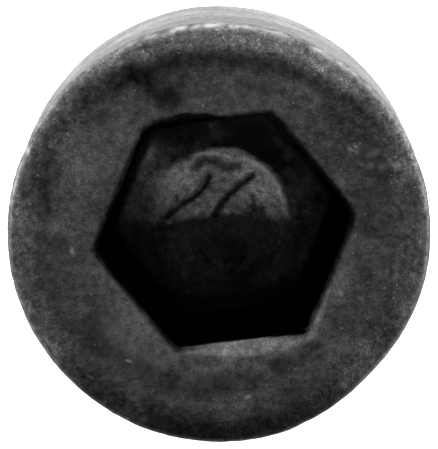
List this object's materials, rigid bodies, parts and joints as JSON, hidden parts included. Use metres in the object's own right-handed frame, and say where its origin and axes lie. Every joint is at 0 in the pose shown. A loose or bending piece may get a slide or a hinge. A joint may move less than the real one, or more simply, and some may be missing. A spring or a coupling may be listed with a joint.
{
  "type": "socket head cap screw",
  "caption": "Round-headed steel machine screw with a hexagon key socket, a rounded head rim and a shank threaded up to the head.",
  "frame": {"origin": "centre of the bearing face, the ring under the head that clamps the work", "axes": "+Z along the screw's axis from the tip to the head; +X through a corner of the hexagon socket, +Y through a flat"},
  "size_m": [0.016, 0.016, 0.035],
  "materials": {
    "black_oxide_steel": "forged alloy steel with a matte black oxide skin, worn lighter along the rim"
  },
  "bodies": {
    "root": {"cap_screw": "black_oxide_steel"}
  },
  "joints": []
}
